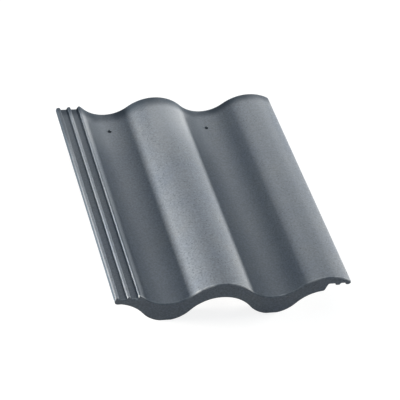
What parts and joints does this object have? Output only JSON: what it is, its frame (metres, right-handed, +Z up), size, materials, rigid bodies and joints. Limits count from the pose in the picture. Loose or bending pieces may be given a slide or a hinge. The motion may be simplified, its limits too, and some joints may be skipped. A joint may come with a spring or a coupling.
{
  "type": "interlocking roof tile",
  "caption": "Rolled concrete roof tile with a grooved side lock, a matching overlap, a deep nose, nibs that hook over a batten, and nail holes.",
  "frame": {"origin": "middle of the tile's box, on the floor that the nose and the nibs rest on", "axes": "+X from the side lock to the overlap, +Y from the foot to the head, +Z up out of the weather face"},
  "size_m": [0.3308, 0.42, 0.0585],
  "materials": {
    "coated_concrete": "slate-grey satin coating over fine sandy concrete"
  },
  "bodies": {
    "root": {"roof_tile": "coated_concrete"}
  },
  "joints": []
}
